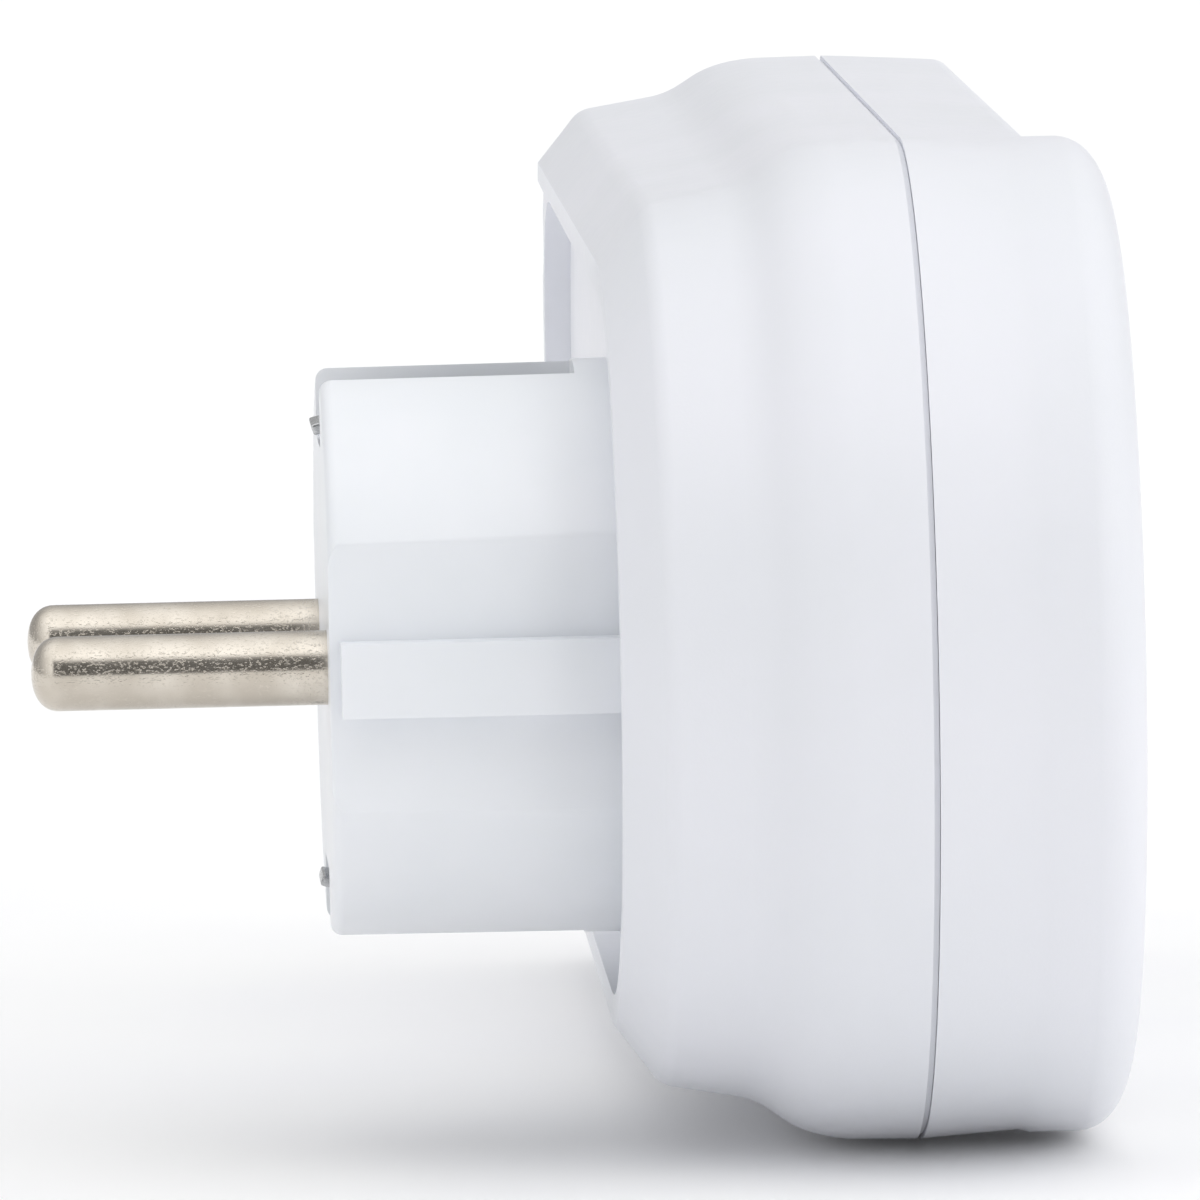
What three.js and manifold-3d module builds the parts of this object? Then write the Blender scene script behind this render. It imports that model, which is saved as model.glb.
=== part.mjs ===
// Plug-in power meter: a landscape housing with a socket at its round end, a display and keys
// at the other end, and a plug behind. Millimetres. +X runs from the socket end to the display
// end, -Y is the front and +Z is up. The origin is the centre of the plug's end face.
import * as THREE from 'three';
import { mergeVertices } from 'three/addons/utils/BufferGeometryUtils.js';
import Module from 'manifold-3d';

const wasm = await Module();
wasm.setup();

// ---- driving dimensions ----
const gap = 0.3; // clearance between pieces that touch
const wall = 2; // housing wall
const floorWall = 2; // rear wall inside the dish

// housing outline
const endRadius = 32.5; // round socket end, at the parting line
const bodyLength = 96; // plug axis to the far corners
const endSag = 4; // how far the display end bulges past its corners
const taper = 0.00065; // narrowing per millimetre towards the display end
const cornerRadius = 2.5;

// distances in front of the plug's end face
const rimDepth = 18.3; // rear rim of the housing
const creaseDepth = 21.2; // end of the rear chamfer
const stepDepth = 26.4; // where the rear step starts to swell
const swellDepth = 33.6; // where the swell ends
const seamDepth = 37.8; // parting line
const displayDepth = 47.2; // front of the display end
const collarRise = 4.2; // how far the socket collar stands in front of it
const collarDepth = displayDepth + collarRise;
const seamGap = 0.4;

// insets of the rear profile from the outline
const rimInset = 7.8;
const creaseInset = 3.9;
const stepInset = 3;

// rear dish and its corner pockets
const dishDepth = 1.8;
const lipWidth = 2;
const dishMargin = 4.5; // far end of the dish to the housing's far corners
const dishEnd = bodyLength - dishMargin;
const dishCorner = 11;
const pocketDepth = 2.9;
const railWidth = 1.3;

// plug
const plugRadius = 18.6;
const plugWall = 2.2;
const plugFace = 3;
const flatInset = 2.2; // how far the flat on each side is cut in
const plugFlat = plugRadius - flatInset;
const ribWidth = 4.8;
const pinSpacing = 19;
const pinRadius = 2.4;
const pinLength = 19;
const pinTail = 11.5;
const earthWidth = 5;
const earthThickness = 0.8;
const flangeReach = 2.9; // how far the flange inside the housing reaches past the plug
const flangeRadius = plugRadius + flangeReach;
const flangeThickness = 2;

// socket
const socketRadius = 19.5;
const socketDepth = 17.5;
const socketWall = 1.8;
const socketFloor = 2;
const socketFlange = 2.6; // how far the cup's front ring reaches past its bore
const socketHoleRadius = 2.75;
const guideHeight = 2.3; // how far the guide ribs stand in from the bore
const guideFlat = socketRadius - guideHeight;
const guideWidth = 12;
const guideSlot = 5.8;
const shutterThickness = 2;
const shutterCover = 0.75; // how far the shutter covers past each hole
const shutterReach = pinSpacing / 2 + socketHoleRadius + shutterCover;
const shutterHalfWidth = 3.1;
const pivotRadius = 2;
const carrierThickness = 2;
const sleeveRadius = 4;
const sleeveBore = 2.5;
const sleeveLength = 14.5;

// display, keys and boards
const displaySetback = 31.4; // centre of the display to the housing's far corners
const displayX = bodyLength - displaySetback;
const displayZ = 11.5;
const windowWidth = 44;
const windowHeight = 26;
const windowThickness = 1;
const windowLedge = 2;
const frontWall = 2.4;
const glassMargin = 2; // how much larger the display glass is than the window
const glassWidth = windowWidth + glassMargin;
const glassHeight = windowHeight + glassMargin;
const glassThickness = 2.2;
const frameWall = 1.7;
const keyRow = -15.5; // height of the key row
const keyCount = 4;
const keyWidth = 8;
const keyHeight = 5.4;
const keySpacing = 2.6; // between two keys
const keyPitch = keyWidth + keySpacing;
const keyProud = 1;
const keyFlange = 1.2;
const switchSize = 6;
const boardThickness = 1.6;
const displayBoardGap = 4.6; // inside of the front wall to the display board
const displayBoardX = displayX - 2.1;
const displayBoardSize = 52;
const powerBoardDepth = 26.7;
const powerBoardX = bodyLength - 34;
const powerBoardWidth = 48;
const powerBoardHeight = 38;

// screws
const nearScrewX = 25;
const nearScrewZ = 17;
const farScrewMargin = 2.8; // far screws to the housing's far corners
const farScrewZ = 18.6;
const screwHeadRadius = 2.6;
const screwShankRadius = 1.3;
const screwSeatDepth = 27;
const screwWell = screwHeadRadius + gap;
const postRadius = 3.2;
const bossWall = 1.5;

const onBothSides = (x, z) => [[x, z], [x, -z]];
const screwPlaces = [
  ...onBothSides(nearScrewX, nearScrewZ),
  ...onBothSides(bodyLength - farScrewMargin, farScrewZ),
];

// ---- finishes ----
const finish = (color, roughness, metalness = 0) =>
  new THREE.MeshStandardMaterial({ color, roughness, metalness });
const whiteShell = finish(0xeef0f4, 0.5);
const plugPlastic = finish(0xe6eaee, 0.45);
const innerPlastic = finish(0xdfe2e4, 0.6);
const nickel = finish(0xc9c2b6, 0.3, 1);
const springSteel = finish(0xb9bcbf, 0.35, 1);
const brass = finish(0xc2a25a, 0.35, 1);
const copper = finish(0xb5713f, 0.4, 1);
const boardGreen = finish(0x1f5a36, 0.6);
const black = finish(0x1d1d1f, 0.6);
const clear = finish(0xbfc7c4, 0.1);
const lcdGrey = finish(0x8f9a88, 0.3);
const keyGrey = finish(0xb4bac2, 0.55);
const rubber = finish(0x3a3a3c, 0.8);
const capYellow = finish(0xc9a63a, 0.5);
const capBlue = finish(0x27406f, 0.5);

// ---- solids ----
// A closed three.js geometry as a solid that can be joined and cut.
function solid(geometry) {
  let bare = geometry.clone();
  bare.deleteAttribute('normal');
  bare.deleteAttribute('uv');
  if (!bare.index) {
    bare.setIndex([...Array(bare.attributes.position.count).keys()]);
  }
  bare = mergeVertices(bare, 1e-4);
  const corners = bare.index.array;
  const faces = [];
  for (let i = 0; i < corners.length; i += 3) {
    const [a, b, c] = [corners[i], corners[i + 1], corners[i + 2]];
    if (a !== b && b !== c && c !== a) {
      faces.push(a, b, c);
    }
  }
  return new wasm.Manifold(new wasm.Mesh({
    numProp: 3,
    vertProperties: Float32Array.from(bare.attributes.position.array),
    triVerts: Uint32Array.from(faces),
  }));
}

function geometryOf(body) {
  const mesh = body.getMesh();
  const geometry = new THREE.BufferGeometry();
  geometry.setAttribute('position', new THREE.BufferAttribute(mesh.vertProperties, 3));
  geometry.setIndex(new THREE.BufferAttribute(mesh.triVerts, 1));
  geometry.computeVertexNormals();
  return geometry;
}

const join = (...bodies) => bodies.reduce((all, body) => all.add(body));
const cut = (body, ...tools) => tools.reduce((rest, tool) => rest.subtract(tool), body);

// A box between two values on each axis.
function block(x, y, z) {
  const [dx, dy, dz] = [x, y, z].map(([low, high]) => high - low);
  const box = new THREE.BoxGeometry(dx, dy, dz);
  box.translate(x[0] + dx / 2, y[0] + dy / 2, z[0] + dz / 2);
  return solid(box);
}

// A round bar along Y between two depths in front of the plug's end face.
function bar(x, z, radius, fromDepth, toDepth, sides = 24) {
  const rod = new THREE.CylinderGeometry(radius, radius, toDepth - fromDepth, sides);
  rod.translate(x, -(fromDepth + toDepth) / 2, z);
  return solid(rod);
}

// A body of revolution about the plug's axis, from [radius, depth] points on a closed outline.
function turned(points, sides = 48) {
  const outline = points.map(([radius, depth]) => new THREE.Vector2(radius, -depth));
  if (THREE.ShapeUtils.area(outline) < 0) {
    outline.reverse();
  }
  outline.push(outline[0].clone());
  return solid(new THREE.LatheGeometry(outline, sides));
}

// An outline in X and Z, as a plate between two depths.
function plate(shape, fromDepth, toDepth, curveSegments = 8) {
  const slab = new THREE.ExtrudeGeometry(shape, {
    depth: toDepth - fromDepth, bevelEnabled: false, curveSegments,
  });
  slab.rotateX(Math.PI / 2);
  slab.translate(0, -fromDepth, 0);
  return solid(slab);
}

// An outline in Y and Z, as a prism between two X values.
function prism(shape, fromX, toX) {
  const slab = new THREE.ExtrudeGeometry(shape, { depth: toX - fromX, bevelEnabled: false });
  const axes = new THREE.Matrix4().makeBasis(
    new THREE.Vector3(0, 1, 0), new THREE.Vector3(0, 0, 1), new THREE.Vector3(1, 0, 0));
  slab.applyMatrix4(axes);
  slab.translate(fromX, 0, 0);
  return solid(slab);
}

function roundedRectangle(x, z, width, height, radius) {
  const shape = new THREE.Shape();
  const [left, low] = [x - width / 2, z - height / 2];
  const [right, high] = [x + width / 2, z + height / 2];
  shape.moveTo(left + radius, low);
  shape.lineTo(right - radius, low);
  shape.absarc(right - radius, low + radius, radius, -Math.PI / 2, 0);
  shape.lineTo(right, high - radius);
  shape.absarc(right - radius, high - radius, radius, 0, Math.PI / 2);
  shape.lineTo(left + radius, high);
  shape.absarc(left + radius, high - radius, radius, Math.PI / 2, Math.PI);
  shape.lineTo(left, low + radius);
  shape.absarc(left + radius, low + radius, radius, Math.PI, Math.PI * 1.5);
  return shape;
}

// ---- housing ----
// Everything short of the bulged display end, set in from it by an inset.
function endTrim(inset) {
  const reach = endRadius * 2;
  const cornerX = bodyLength - inset;
  const cornerZ = endRadius - Math.max(inset - 0.5, 0);
  const radius = Math.max(cornerRadius - inset, 0.6);
  const shape = new THREE.Shape();
  shape.moveTo(-reach, -reach);
  shape.lineTo(cornerX - radius, -reach);
  shape.lineTo(cornerX - radius, -cornerZ);
  shape.quadraticCurveTo(cornerX, -cornerZ, cornerX + 0.3, -cornerZ + radius);
  shape.quadraticCurveTo(cornerX + 2 * endSag, 0, cornerX + 0.3, cornerZ - radius);
  shape.quadraticCurveTo(cornerX, cornerZ, cornerX - radius, cornerZ);
  shape.lineTo(cornerX - radius, reach);
  shape.lineTo(-reach, reach);
  return plate(shape, 0, collarDepth + 5, 5);
}

// The housing's form for one profile: turned at the socket end, straight to the display end.
function housing(profile, inset) {
  const first = profile[0][1];
  const last = profile[profile.length - 1][1];
  const round = turned([[0, first], ...profile, [0, last]]);
  const section = new THREE.Shape();
  section.moveTo(-profile[0][1], profile[0][0]);
  profile.slice(1).forEach(([radius, depth]) => section.lineTo(-depth, radius));
  [...profile].reverse().forEach(([radius, depth]) => section.lineTo(-depth, -radius));
  const straight = prism(section, 0, bodyLength + 3 * endSag);
  const geometry = geometryOf(round.add(straight).intersect(endTrim(inset)));
  const place = geometry.attributes.position;
  for (let i = 0; i < place.count; i += 1) {
    place.setZ(i, place.getZ(i) * (1 - taper * Math.max(0, place.getX(i))));
  }
  return solid(geometry);
}

const swell = new THREE.CubicBezierCurve(
  new THREE.Vector2(endRadius - stepInset, stepDepth),
  new THREE.Vector2(endRadius - stepInset + 0.6, stepDepth + 2.6),
  new THREE.Vector2(endRadius - 0.5, stepDepth + 2.4),
  new THREE.Vector2(endRadius - 0.05, swellDepth));
const rearProfile = [
  [endRadius - rimInset, rimDepth],
  [endRadius - creaseInset, creaseDepth],
  ...swell.getPoints(7).map((point) => [point.x, point.y]),
  [endRadius, seamDepth - seamGap / 2],
];
const dishFloor = rimDepth + dishDepth;
const insideFloor = dishFloor + floorWall;
const tongueRadius = endRadius - wall - gap;
const tongueInner = tongueRadius - 1;
const rearCavity = [
  [Math.max(endRadius - rimInset - 0.8, flangeRadius + gap), insideFloor],
  [endRadius - creaseInset - wall, insideFloor + 1.6],
  [endRadius - stepInset - wall, stepDepth + 1.2],
  [tongueInner, swellDepth - 0.4],
  [tongueInner, seamDepth + 4],
];

// The dish behind the housing: round at the plug, blunt towards the display end.
function dishOutline(offset) {
  const radius = endRadius - rimInset - lipWidth + offset;
  const narrow = radius - taper * radius * bodyLength * 0.6;
  const far = dishEnd + offset;
  const shape = new THREE.Shape();
  shape.moveTo(0, radius);
  shape.absarc(0, 0, radius, Math.PI / 2, Math.PI * 1.5);
  shape.lineTo(dishEnd - 2 * dishCorner, -narrow);
  shape.bezierCurveTo(dishEnd - 4, -narrow, far, -narrow + 2, far, -narrow + dishCorner + 2);
  shape.lineTo(far, narrow - dishCorner - 2);
  shape.bezierCurveTo(far, narrow - 2, dishEnd - 4, narrow, dishEnd - 2 * dishCorner, narrow);
  return shape;
}

function cornerPockets() {
  const startX = dishEnd - 2 * dishCorner;
  const halfHeight = (endRadius - rimInset) * (1 - taper * bodyLength) - railWidth;
  const field = block([startX, bodyLength + 2 * endSag],
    [-rimDepth - pocketDepth, -rimDepth + 1], [-halfHeight, halfHeight]);
  return field.subtract(plate(dishOutline(lipWidth), rimDepth - 2, rimDepth + pocketDepth + 1));
}

const boardPosts = [...onBothSides(powerBoardX - 20, 17), ...onBothSides(powerBoardX + 21, 13)];
const boardPostRadius = 2;

function rearShell() {
  const outer = housing(rearProfile, 0);
  const tongue = housing([[tongueRadius, seamDepth - 4], [tongueRadius, seamDepth + 1.8]],
    wall + gap);
  let shell = join(outer, tongue).subtract(housing(rearCavity, wall + gap + 1));
  for (const [x, z] of screwPlaces) {
    const boss = bar(x, z, screwWell + bossWall, insideFloor - 1.5, screwSeatDepth + wall);
    shell = shell.add(boss.intersect(housing([
      [endRadius - stepInset - 1, insideFloor - 1.5],
      [endRadius - stepInset - 1, seamDepth],
    ], 0.5)));
  }
  for (const [x, z] of boardPosts) {
    shell = shell.add(
      bar(x, z, boardPostRadius, insideFloor - 0.5, powerBoardDepth - gap, 16));
  }
  shell = cut(shell,
    plate(dishOutline(0), rimDepth - 2, dishFloor, 8),
    cornerPockets(),
    bar(0, 0, plugRadius + gap, rimDepth - 2, insideFloor + 1, 48));
  for (const [x, z] of screwPlaces) {
    shell = cut(shell,
      bar(x, z, screwWell, rimDepth - 2, screwSeatDepth),
      bar(x, z, screwShankRadius + gap, rimDepth, screwSeatDepth + wall + 1, 16));
  }
  return shell;
}

const frontProfile = [
  [endRadius, seamDepth + seamGap / 2],
  [endRadius - 0.6, displayDepth - 1.6],
  [endRadius - 0.9, displayDepth - 0.7],
  [endRadius - 1.7, displayDepth],
];
const collarProfile = [
  [endRadius - 1, seamDepth + 2],
  [endRadius - 0.25, displayDepth - 2],
  [endRadius - 0.3, collarDepth - 2.8],
  [endRadius - 0.8, collarDepth - 1.7],
  [endRadius - 1.9, collarDepth - 0.9],
  [endRadius - 4.2, collarDepth],
];
const frontInside = displayDepth - frontWall;
const cupFlangeRadius = socketRadius + socketFlange;
const cupFlangeThickness = 1.6;
const cupOuter = socketRadius + socketWall;
const windowSeat = windowThickness + gap;
const keyPlaces = Array.from({ length: keyCount },
  (_, i) => displayX + (i - (keyCount - 1) / 2) * keyPitch);
const displayBoardFront = frontInside - displayBoardGap;
const displayPosts = [
  ...onBothSides(displayBoardX - 25.1, 21.5),
  [displayX + 20.9, -7.2],
  [displayX - 20.6, -7.2],
];
const displayPostRadius = 1.8;

function frontShell() {
  const collarInside = collarDepth - wall;
  let shell = join(housing(frontProfile, 0),
    turned([[0, seamDepth + 2], ...collarProfile, [0, collarDepth]]));
  shell = cut(shell,
    housing([[endRadius - wall, seamDepth - 2], [endRadius - wall - 0.5, frontInside]], wall),
    turned([[0, seamDepth], [endRadius - wall - 0.6, seamDepth],
      [endRadius - wall - 0.6, collarInside - 1.4], [endRadius - wall - 2.4, collarInside],
      [0, collarInside]]));
  for (const [x, z] of screwPlaces) {
    const near = x < endRadius;
    const post = bar(x, z, postRadius, screwSeatDepth + wall + gap,
      near ? collarInside + 0.5 : frontInside + 0.5, 20);
    const inside = [[tongueInner - gap, 0], [tongueInner - gap, seamDepth + 2.4],
      [endRadius - wall + 0.3, seamDepth + 2.4], [endRadius - wall + 0.3, collarDepth]];
    shell = shell.add(post.intersect(housing(inside, wall + gap + 1 + gap)));
  }
  for (const [x, z] of displayPosts) {
    shell = shell.add(
      bar(x, z, displayPostRadius, displayBoardFront + gap, frontInside + 0.5, 16));
  }
  shell = cut(shell,
    bar(0, 0, cupFlangeRadius + gap, collarDepth - cupFlangeThickness - gap, collarDepth + 2, 48),
    bar(0, 0, cupOuter + gap, collarInside - 3, collarDepth, 48),
    plate(roundedRectangle(displayX, displayZ, windowWidth + 2 * gap, windowHeight + 2 * gap, 1.6),
      displayDepth - windowSeat, displayDepth + 2, 4),
    plate(roundedRectangle(displayX, displayZ, windowWidth - 2 * windowLedge,
      windowHeight - 2 * windowLedge, 1), frontInside - 1, displayDepth, 4));
  for (const [x, z] of screwPlaces) {
    shell = shell.subtract(bar(x, z, screwShankRadius + gap, seamDepth - 12, seamDepth + 5.5, 16));
  }
  for (const x of keyPlaces) {
    shell = shell.subtract(plate(roundedRectangle(x, keyRow, keyWidth + 2 * gap,
      keyHeight + 2 * gap, keyHeight / 2 + gap), frontInside - 1, displayDepth + 1, 4));
  }
  return shell;
}

// ---- plug ----
const earthChannel = plugRadius - 5; // axis to the floor of each earth channel
const earthRest = plugRadius - 3.4; // axis to the middle of each earth strip inside
const earthCrown = plugRadius - 1.5; // axis to the top of each earth strip's bow
const stripClearance = earthWidth / 2 + 0.4;
const flangeBack = insideFloor + gap;
const flangeFront = flangeBack + flangeThickness;

function plugBody() {
  let body = turned([[0, 0], [plugRadius - 0.9, 0], [plugRadius - 0.5, 0.25],
    [plugRadius - 0.2, 0.9], [plugRadius, flangeBack], [flangeRadius, flangeBack],
    [flangeRadius, flangeFront], [0, flangeFront]]);
  for (const side of [-1, 1]) {
    const flat = block(side < 0 ? [-30, -plugFlat] : [plugFlat, 30],
      [-rimDepth - 1, 2], [-12, 12]);
    const rib = block(side < 0 ? [-plugRadius - 1, -plugFlat + 1] : [plugFlat - 1, plugRadius + 1],
      [-rimDepth - 2, 2], [-ribWidth / 2, ribWidth / 2]);
    body = body.subtract(flat.subtract(rib));
    const channel = side < 0 ? [-30, -earthChannel] : [earthChannel, 30];
    body = body.subtract(block([-4.2, 4.2], [-16.5, 2], channel));
    const slot = [side * earthRest - 0.8, side * earthRest + 0.8];
    body = body.subtract(block([-stripClearance, stripClearance], [-flangeFront - 1, -15], slot));
    body = body.subtract(bar(side * pinSpacing / 2, 0, pinRadius + gap, -1, plugFace + 1, 20));
  }
  const hollow = bar(0, 0, plugRadius - plugWall, plugFace, flangeFront + 1, 48);
  const keep = [-1, 1].map((side) => block([-5.4, 5.4], [-17.6, 0],
    side < 0 ? [-30, -earthChannel + 1.4] : [earthChannel - 1.4, 30]));
  const sides = [-1, 1].map((side) => block(
    side < 0 ? [-30, -plugFlat + plugWall] : [plugFlat - plugWall, 30],
    [-rimDepth - 1, 2], [-12, 12]));
  return body.subtract(cut(hollow, ...keep, ...sides));
}

// A pin with a domed tip, a shoulder behind the plug's face and a tail.
function plugPin() {
  const tip = new THREE.EllipseCurve(0, pinLength - 1.9, pinRadius, 1.9, 0, Math.PI / 2);
  const dome = tip.getPoints(5).map((point) => [point.x, -point.y]);
  dome[dome.length - 1][0] = 0;
  const shoulder = plugFace + gap;
  return turned([...dome, [0, pinTail], [1.9, pinTail], [1.9, shoulder + 1.6],
    [3.4, shoulder + 1.6], [3.4, shoulder], [pinRadius, shoulder]], 20);
}

// A strip bent through [depth, height] points, seen from the side, centred on X = 0.
function bentStrip(points, thickness, width) {
  const line = points.map(([depth, height]) => new THREE.Vector2(-depth, height));
  const side = (sign) => line.map((point, i) => {
    const before = line[Math.max(i - 1, 0)];
    const after = line[Math.min(i + 1, line.length - 1)];
    const along = after.clone().sub(before).normalize();
    return new THREE.Vector2(point.x - along.y * sign * thickness / 2,
      point.y + along.x * sign * thickness / 2);
  });
  const outline = [...side(1), ...side(-1).reverse()];
  if (THREE.ShapeUtils.area(outline) < 0) {
    outline.reverse();
  }
  return prism(new THREE.Shape(outline), -width / 2, width / 2);
}

const cupFloorFront = collarDepth - socketDepth;
const cupFloorBack = cupFloorFront - socketFloor;
const carrierFront = cupFloorBack - shutterThickness - 1;
const carrierBack = carrierFront - carrierThickness;
const carrierRest = socketRadius - 4.3; // axis to each earth strip where it passes the carrier
const clipInset = 1.5; // how far in from the socket's bore each earth clip passes its floor
const clipHeight = socketRadius - clipInset;

const earthStrip = () => bentStrip([
  [-0.4, earthCrown - 2.5], [1.6, earthCrown - 2.1], [5, earthCrown - 0.6],
  [8.5, earthCrown], [12, earthCrown - 0.7], [15, earthRest],
  [flangeFront, earthRest], [carrierBack - gap, carrierRest],
  [carrierFront + 0.5, carrierRest], [cupFloorBack - 0.6, clipHeight - 0.2],
  [cupFloorFront + 0.4, clipHeight], [cupFloorFront + 4, clipHeight - 0.6],
  [cupFloorFront + 7, clipHeight - 1.3], [cupFloorFront + 10, clipHeight - 0.8],
  [collarDepth - 3.6, clipHeight + 0.3],
], earthThickness, earthWidth);

// ---- socket ----
function socketCup() {
  let cup = turned([
    [0, cupFloorFront], [socketRadius, cupFloorFront], [socketRadius, collarDepth - 0.6],
    [socketRadius + 0.6, collarDepth], [cupFlangeRadius, collarDepth],
    [cupFlangeRadius, collarDepth - cupFlangeThickness],
    [cupOuter, collarDepth - cupFlangeThickness], [cupOuter, carrierFront + gap],
    [socketRadius, carrierFront + gap], [socketRadius, cupFloorBack], [0, cupFloorBack],
  ]);
  for (const side of [-1, 1]) {
    const across = side < 0 ? [-socketRadius - 0.5, -guideFlat] : [guideFlat, socketRadius + 0.5];
    const guide = block(across, [-collarDepth + 1.2, -cupFloorFront + 0.5],
      [-guideWidth / 2, guideWidth / 2]);
    const notch = block([across[0] - 1, across[1] + 1], [-collarDepth, -cupFloorFront],
      [-guideSlot / 2, guideSlot / 2]);
    cup = cup.add(guide.subtract(notch));
  }
  cup = cup.add(bar(0, 0, pivotRadius, carrierFront + gap, cupFloorBack + 0.5, 20));
  for (const side of [-1, 1]) {
    const through = [side * clipHeight - 1, side * clipHeight + 1];
    cup = cut(cup,
      bar(side * pinSpacing / 2, 0, socketHoleRadius, cupFloorBack - 1, cupFloorFront + 1, 20),
      block([-stripClearance, stripClearance], [-cupFloorFront - 1, -cupFloorBack + 1], through));
  }
  return cup;
}

function shutter() {
  const front = cupFloorBack - 0.4;
  const back = front - shutterThickness;
  const blade = roundedRectangle(0, 0, 2 * shutterReach, 2 * shutterHalfWidth,
    shutterHalfWidth - 0.1);
  return cut(join(plate(blade, back, front, 8), bar(0, 0, 5.2, back, front, 32)),
    bar(0, 0, pivotRadius + gap, back - 1, front + 1, 20),
    bar(0, 0, 4.1, back - 1, back + 1.3, 28));
}

class Helix extends THREE.Curve {
  constructor(radius, height, turns) {
    super();
    Object.assign(this, { radius, height, turns });
  }

  getPoint(t, target = new THREE.Vector3()) {
    const angle = t * this.turns * 2 * Math.PI;
    return target.set(this.radius * Math.cos(angle), -this.height * t,
      this.radius * Math.sin(angle));
  }
}

function shutterSpring() {
  const wire = new THREE.Shape();
  wire.absarc(0, 0, 0.18, 0, 2 * Math.PI);
  return solid(new THREE.ExtrudeGeometry(wire, {
    extrudePath: new Helix(3.1, 0.75, 1.6), steps: 36, curveSegments: 3, bevelEnabled: false,
  }));
}

function contactCarrier() {
  let carrier = bar(0, 0, cupOuter - 0.8, carrierBack, carrierFront, 48);
  for (const side of [-1, 1]) {
    const strip = [side * carrierRest - 1.4, side * carrierRest + 1.4];
    carrier = cut(carrier,
      bar(side * pinSpacing / 2, 0, sleeveRadius + gap, carrierBack - 1, carrierFront + 1, 24),
      block([-stripClearance, stripClearance], [-carrierFront - 1, -carrierBack + 1], strip));
  }
  return carrier;
}

function contactSleeve() {
  const front = carrierFront - gap;
  return turned([[sleeveBore, front], [sleeveRadius, front],
    [sleeveRadius, front - sleeveLength], [sleeveBore, front - sleeveLength]], 20);
}

// A strap from a pin's tail to the power board; side is -1 for the near pin, 1 for the other.
function supplyStrap(side) {
  const thickness = 0.8;
  const span = (a, b) => [Math.min(a, b), Math.max(a, b)];
  const x = span(side * (pinSpacing / 2 + 2.2), side * (pinSpacing / 2 - 2.8));
  const tail = -(pinTail + gap);
  const outer = -side * 11;
  const boardSide = -(powerBoardDepth - gap);
  const upright = [tail - thickness, tail];
  return join(
    block(x, upright, span(side * 2, outer)),
    block(x, [boardSide, tail], span(outer, outer + side * thickness)),
    block([x[0], powerBoardX - 18], [boardSide, boardSide + thickness], span(outer, -side * 5.2)));
}

// ---- display, keys and boards ----
const glassFront = frontInside - 0.4;
const glassBack = glassFront - glassThickness;

function displayFrame() {
  const around = glassWidth + 2 * gap;
  const high = glassHeight + 2 * gap;
  return cut(
    plate(roundedRectangle(displayX, displayZ, around + 2 * frameWall, high + 2 * frameWall, 1.2),
      displayBoardFront + gap, glassFront, 3),
    block([displayX - around / 2, displayX + around / 2], [-glassFront - 1, -displayBoardFront],
      [displayZ - high / 2, displayZ + high / 2]));
}

// Built at the origin: the key's flange rests behind the front wall and its cap stands proud.
function key() {
  const flangeFront = frontInside - gap;
  const flangeBack = flangeFront - keyFlange;
  const cap = new THREE.ExtrudeGeometry(
    roundedRectangle(0, 0, keyWidth - 0.8, keyHeight - 0.8, keyHeight / 2 - 0.4), {
      depth: displayDepth + keyProud - flangeFront - 0.4, curveSegments: 4,
      bevelThickness: 0.4, bevelSize: 0.4, bevelSegments: 1,
    });
  cap.rotateX(Math.PI / 2);
  cap.translate(0, -flangeFront, 0);
  const flange = roundedRectangle(0, 0, keyWidth + 2, keyHeight + 2, keyHeight / 2 + 1);
  return join(solid(cap), plate(flange, flangeBack, flangeFront, 4));
}

function keySwitch() {
  const foot = displayBoardFront + gap;
  return join(
    block([-switchSize / 2, switchSize / 2], [-foot - 1.5, -foot], [-switchSize / 2, switchSize / 2]),
    bar(0, 0, 1.5, foot + 1, foot + 1.9, 12));
}

function displayBoard() {
  const shape = roundedRectangle(displayBoardX, 0, displayBoardSize, displayBoardSize, 1.5);
  const notch = bar(displayBoardX - displayBoardSize / 2 + 0.5, 0, 1.5,
    displayBoardFront - boardThickness - 1, displayBoardFront + 1, 16);
  return plate(shape, displayBoardFront - boardThickness, displayBoardFront, 3).subtract(notch);
}

const powerBoard = () => plate(
  roundedRectangle(powerBoardX, 0, powerBoardWidth, powerBoardHeight, 1.5),
  powerBoardDepth, powerBoardDepth + boardThickness, 3);
const powerBoardFront = powerBoardDepth + boardThickness + gap;
const displayBoardBack = displayBoardFront - boardThickness - gap;

const onPowerBoard = (x, z, width, height, rise) => block([x - width / 2, x + width / 2],
  [-powerBoardFront - rise, -powerBoardFront], [z - height / 2, z + height / 2]);
const behindDisplayBoard = (x, z, width, height, drop) => block([x - width / 2, x + width / 2],
  [-displayBoardBack, -displayBoardBack + drop], [z - height / 2, z + height / 2]);

function currentShunt() {
  const [x, length, rise, thickness] = [powerBoardX - 12, 14, 5, 1.2];
  return cut(onPowerBoard(x, 1, length, 5, rise),
    block([x - length / 2 + thickness, x + length / 2 - thickness],
      [-powerBoardFront - rise + 1, -powerBoardFront + 1], [-4, 6]));
}

function varistor() {
  const radius = 3.6;
  const disc = new THREE.CylinderGeometry(radius, radius, 3, 20);
  disc.rotateZ(Math.PI / 2);
  disc.translate(powerBoardX - 1.5, -(powerBoardFront + radius), -6);
  return solid(disc);
}

const electrolytic = () => turned([[0, powerBoardFront], [3.6, powerBoardFront],
  [3.8, powerBoardFront + 0.6], [3.8, displayBoardBack - 1.4], [3.3, displayBoardBack - 0.9],
  [0, displayBoardBack - 0.9]], 20);

function backupCell() {
  return bar(0, 0, 6, displayBoardBack - 5.4, displayBoardBack, 24);
}

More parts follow.
